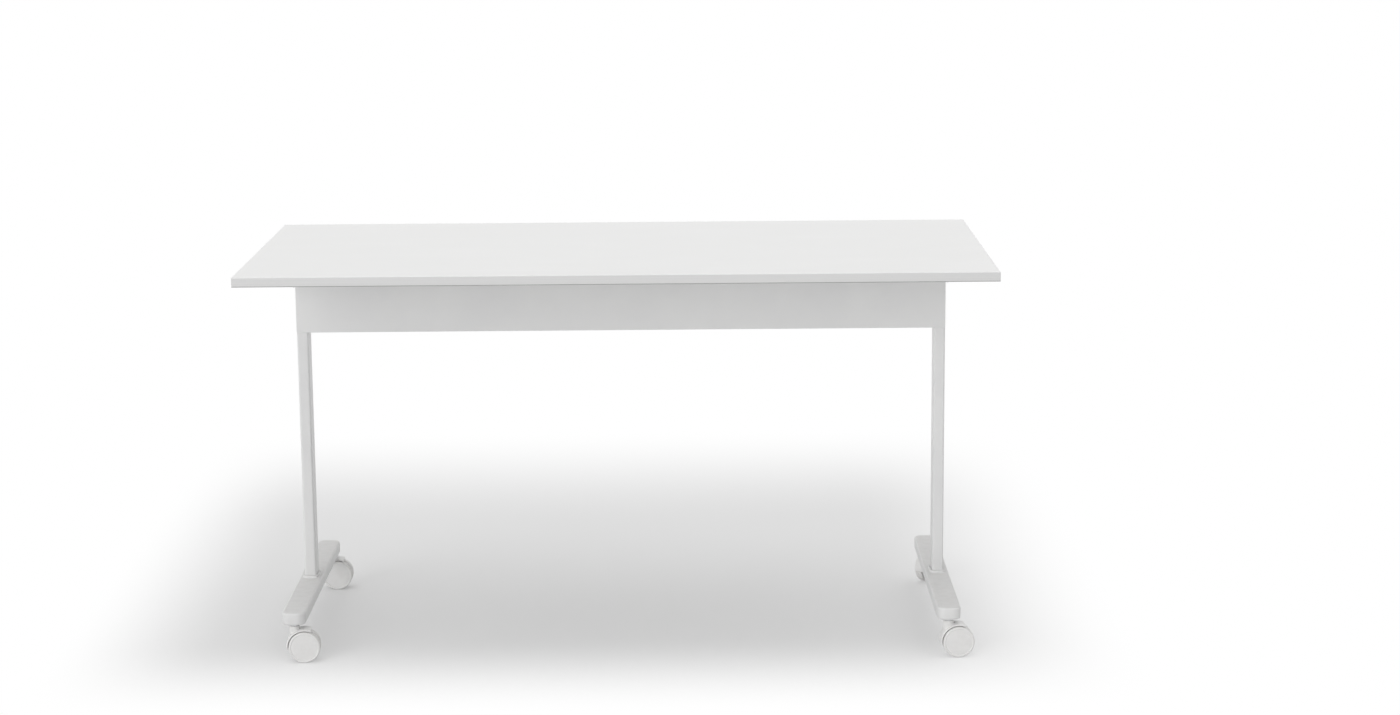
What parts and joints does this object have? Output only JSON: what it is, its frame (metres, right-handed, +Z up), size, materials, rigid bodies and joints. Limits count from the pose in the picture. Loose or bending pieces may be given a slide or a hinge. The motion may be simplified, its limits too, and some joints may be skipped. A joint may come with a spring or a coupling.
{
  "type": "flip top training table",
  "caption": "Rectangular white table whose top tips upright on two columns for nesting; long low feet on twin-wheel castors, a panel between the columns and a release handle behind it.",
  "frame": {"origin": "on the floor, under the middle of the level top", "axes": "+X to the right along the top's length, +Y from the user's front edge to the rear edge, +Z up"},
  "size_m": [1.4, 0.7, 0.75],
  "materials": {
    "laminate": "white melamine laminate on particle board, fine pearl texture",
    "edge_plastic": "white ABS edge band, satin",
    "white_coat": "white powder coat, fine orange peel",
    "castor_plastic": "off-white moulded nylon, satin",
    "zinc_steel": "zinc plated steel",
    "black_rubber": "black moulded rubber",
    "grey_nylon": "grey moulded nylon"
  },
  "bodies": {
    "frame": {"pivot_pin_left": "zinc_steel", "pivot_head_left": "white_coat", "stop_buffer_left": "black_rubber", "column_left": "white_coat", "foot_left": "white_coat", "foot_bolt_left": "zinc_steel", "panel_screw_left_1": "zinc_steel", "panel_screw_left_2": "zinc_steel", "pivot_pin_right": "zinc_steel", "pivot_head_right": "white_coat", "stop_buffer_right": "black_rubber", "column_right": "white_coat", "foot_right": "white_coat", "foot_bolt_right": "zinc_steel", "panel_screw_right_1": "zinc_steel", "panel_screw_right_2": "zinc_steel", "beam_panel": "white_coat", "bar_hanger": "white_coat", "castor_front_left_stem": "zinc_steel", "castor_front_right_stem": "zinc_steel", "castor_rear_left_stem": "zinc_steel", "castor_rear_right_stem": "zinc_steel"},
    "top": {"tabletop_board": "laminate", "edge_band_front": "edge_plastic", "edge_band_rear": "edge_plastic", "edge_band_left": "edge_plastic", "edge_band_right": "edge_plastic", "flip_bracket_left": "white_coat", "pivot_bush_left": "grey_nylon", "bracket_screw_left_1": "zinc_steel", "bracket_screw_left_2": "zinc_steel", "bracket_screw_left_3": "zinc_steel", "bracket_screw_left_4": "zinc_steel", "flip_bracket_right": "white_coat", "pivot_bush_right": "grey_nylon", "bracket_screw_right_1": "zinc_steel", "bracket_screw_right_2": "zinc_steel", "bracket_screw_right_3": "zinc_steel", "bracket_screw_right_4": "zinc_steel"},
    "release": {"release_bar": "zinc_steel", "pawl_left": "zinc_steel", "pawl_right": "zinc_steel", "release_handle": "grey_nylon", "return_spring": "zinc_steel"},
    "swivel_front_left": {"castor_front_left_hood": "castor_plastic", "castor_front_left_axle": "zinc_steel"},
    "wheel_front_left_front": {"castor_front_left_wheel_front": "castor_plastic"},
    "wheel_front_left_rear": {"castor_front_left_wheel_rear": "castor_plastic"},
    "swivel_front_right": {"castor_front_right_hood": "castor_plastic", "castor_front_right_axle": "zinc_steel"},
    "wheel_front_right_front": {"castor_front_right_wheel_front": "castor_plastic"},
    "wheel_front_right_rear": {"castor_front_right_wheel_rear": "castor_plastic"},
    "swivel_rear_left": {"castor_rear_left_hood": "castor_plastic", "castor_rear_left_axle": "zinc_steel"},
    "wheel_rear_left_front": {"castor_rear_left_wheel_front": "castor_plastic"},
    "wheel_rear_left_rear": {"castor_rear_left_wheel_rear": "castor_plastic"},
    "swivel_rear_right": {"castor_rear_right_hood": "castor_plastic", "castor_rear_right_axle": "zinc_steel"},
    "wheel_rear_right_front": {"castor_rear_right_wheel_front": "castor_plastic"},
    "wheel_rear_right_rear": {"castor_rear_right_wheel_rear": "castor_plastic"}
  },
  "joints": [
    {"name": "flip", "type": "hinge", "parent": "frame", "child": "top", "pos_m": [0, -0.01, 0.69], "axis": [1, 0, 0], "range_deg": [0, 90]},
    {"name": "release", "type": "hinge", "parent": "frame", "child": "release", "pos_m": [0, 0.014, 0.712], "axis": [1, 0, 0], "range_deg": [0, 14]},
    {"name": "swivel_front_left", "type": "hinge", "parent": "frame", "child": "swivel_front_left", "pos_m": [-0.619, -0.262, 0.0624], "axis": [0, 0, 1], "continuous": true},
    {"name": "roll_front_left_front", "type": "hinge", "parent": "swivel_front_left", "child": "wheel_front_left_front", "pos_m": [-0.60104, -0.26074, 0.03], "axis": [-0.0698, 0.9976, 0], "continuous": true},
    {"name": "roll_front_left_rear", "type": "hinge", "parent": "swivel_front_left", "child": "wheel_front_left_rear", "pos_m": [-0.60104, -0.26074, 0.03], "axis": [-0.0698, 0.9976, 0], "continuous": true},
    {"name": "swivel_front_right", "type": "hinge", "parent": "frame", "child": "swivel_front_right", "pos_m": [0.619, -0.262, 0.0624], "axis": [0, 0, 1], "continuous": true},
    {"name": "roll_front_right_front", "type": "hinge", "parent": "swivel_front_right", "child": "wheel_front_right_front", "pos_m": [0.63696, -0.26074, 0.03], "axis": [-0.0698, 0.9976, 0], "continuous": true},
    {"name": "roll_front_right_rear", "type": "hinge", "parent": "swivel_front_right", "child": "wheel_front_right_rear", "pos_m": [0.63696, -0.26074, 0.03], "axis": [-0.0698, 0.9976, 0], "continuous": true},
    {"name": "swivel_rear_left", "type": "hinge", "parent": "frame", "child": "swivel_rear_left", "pos_m": [-0.619, 0.262, 0.0624], "axis": [0, 0, 1], "continuous": true},
    {"name": "roll_rear_left_front", "type": "hinge", "parent": "swivel_rear_left", "child": "wheel_rear_left_front", "pos_m": [-0.601, 0.262, 0.03], "axis": [0, 1, 0], "continuous": true},
    {"name": "roll_rear_left_rear", "type": "hinge", "parent": "swivel_rear_left", "child": "wheel_rear_left_rear", "pos_m": [-0.601, 0.262, 0.03], "axis": [0, 1, 0], "continuous": true},
    {"name": "swivel_rear_right", "type": "hinge", "parent": "frame", "child": "swivel_rear_right", "pos_m": [0.619, 0.262, 0.0624], "axis": [0, 0, 1], "continuous": true},
    {"name": "roll_rear_right_front", "type": "hinge", "parent": "swivel_rear_right", "child": "wheel_rear_right_front", "pos_m": [0.63057, 0.27579, 0.03], "axis": [-0.766, 0.6428, 0], "continuous": true},
    {"name": "roll_rear_right_rear", "type": "hinge", "parent": "swivel_rear_right", "child": "wheel_rear_right_rear", "pos_m": [0.63057, 0.27579, 0.03], "axis": [-0.766, 0.6428, 0], "continuous": true}
  ]
}
